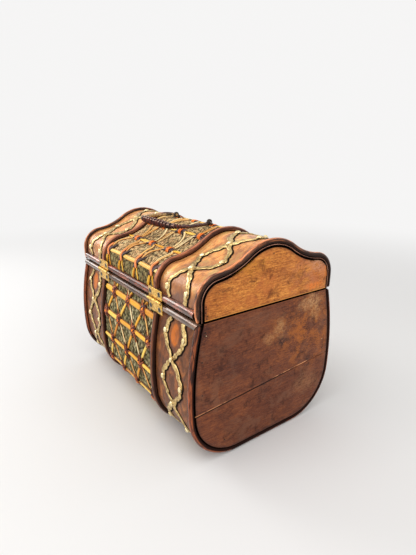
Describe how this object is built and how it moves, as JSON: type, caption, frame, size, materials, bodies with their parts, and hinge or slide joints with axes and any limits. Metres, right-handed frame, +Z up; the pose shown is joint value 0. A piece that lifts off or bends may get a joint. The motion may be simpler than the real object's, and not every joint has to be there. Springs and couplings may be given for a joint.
{
  "type": "dome top chest",
  "caption": "Small domed chest with camel-back ends, a hinged lid, a swing handle on the crown and a front hook catch.",
  "frame": {"origin": "on the floor below the middle of the chest", "axes": "+X along the chest's length, +Y towards the hinges, -Y towards the catch, +Z up"},
  "size_m": [0.3, 0.208, 0.236],
  "materials": {
    "inner_wood": "raw, dry",
    "red_brown_plank": "stained and waxed, worn",
    "orange_brown_board": "stained and waxed, worn",
    "dark_bent_cane": "lacquered, rubbed",
    "brown_half_cane": "lacquered, rubbed",
    "grey_brown_moulding": "lacquered, dusty",
    "golden_split_cane": "satin varnish",
    "woven_grass": "dry woven grass",
    "brown_hide": "mottled satin",
    "orange_hide": "mottled satin",
    "aged_brass": "hammered, tarnished",
    "dull_steel": "dull",
    "black_brown_cane": "lacquered",
    "oxblood_winding": "lacquered"
  },
  "bodies": {
    "chest": {"body_edge_trim_far": "dark_bent_cane", "body_edge_trim_near": "dark_bent_cane", "body_end_plank_lower_far": "red_brown_plank", "body_end_plank_lower_near": "red_brown_plank", "body_end_plank_upper_far": "red_brown_plank", "body_end_plank_upper_near": "red_brown_plank", "body_grass_panel": "woven_grass", "body_hinge_leaf_far": "aged_brass", "body_hinge_leaf_near": "aged_brass", "body_lattice_back": "golden_split_cane", "body_lattice_front": "golden_split_cane", "body_rail_back": "grey_brown_moulding", "body_rail_front": "grey_brown_moulding", "body_rib_far": "brown_half_cane", "body_rib_near": "brown_half_cane", "body_shell": "inner_wood", "body_strap_back_far": "aged_brass", "body_strap_back_near": "aged_brass", "body_strap_front_far": "aged_brass", "body_strap_front_near": "aged_brass", "body_veneer_far": "brown_hide", "body_veneer_near": "brown_hide", "hinge_pin_far": "dull_steel", "hinge_pin_near": "aged_brass", "hook_screw": "dull_steel"},
    "lid": {"handle_ear_far": "aged_brass", "handle_ear_near": "aged_brass", "hook_stud": "dull_steel", "lid_edge_trim_far": "dark_bent_cane", "lid_edge_trim_near": "dark_bent_cane", "lid_end_board_far": "orange_brown_board", "lid_end_board_near": "orange_brown_board", "lid_grass_panel": "woven_grass", "lid_hinge_leaf_far": "aged_brass", "lid_hinge_leaf_near": "aged_brass", "lid_lattice": "golden_split_cane", "lid_rail_back": "grey_brown_moulding", "lid_rail_front": "grey_brown_moulding", "lid_rib_far": "brown_half_cane", "lid_rib_near": "brown_half_cane", "lid_shell": "inner_wood", "lid_strap_far": "aged_brass", "lid_strap_near": "aged_brass", "lid_veneer_far": "orange_hide", "lid_veneer_near": "orange_hide"},
    "handle": {"handle_core": "black_brown_cane", "handle_winding": "oxblood_winding"},
    "hook": {"catch_hook": "aged_brass"}
  },
  "joints": [
    {"name": "lid_hinge", "type": "hinge", "parent": "chest", "child": "lid", "pos_m": [0, 0.0957, 0.1613], "axis": [-1, 0, 0], "range_deg": [0, 170]},
    {"name": "handle_swing", "type": "hinge", "parent": "lid", "child": "handle", "pos_m": [0, 0, 0.2306], "axis": [1, 0, 0], "range_deg": [0, 180]},
    {"name": "hook_turn", "type": "hinge", "parent": "chest", "child": "hook", "pos_m": [0, -0.0951, 0.1558], "axis": [0, -1, 0], "range_deg": [0, 90]}
  ]
}
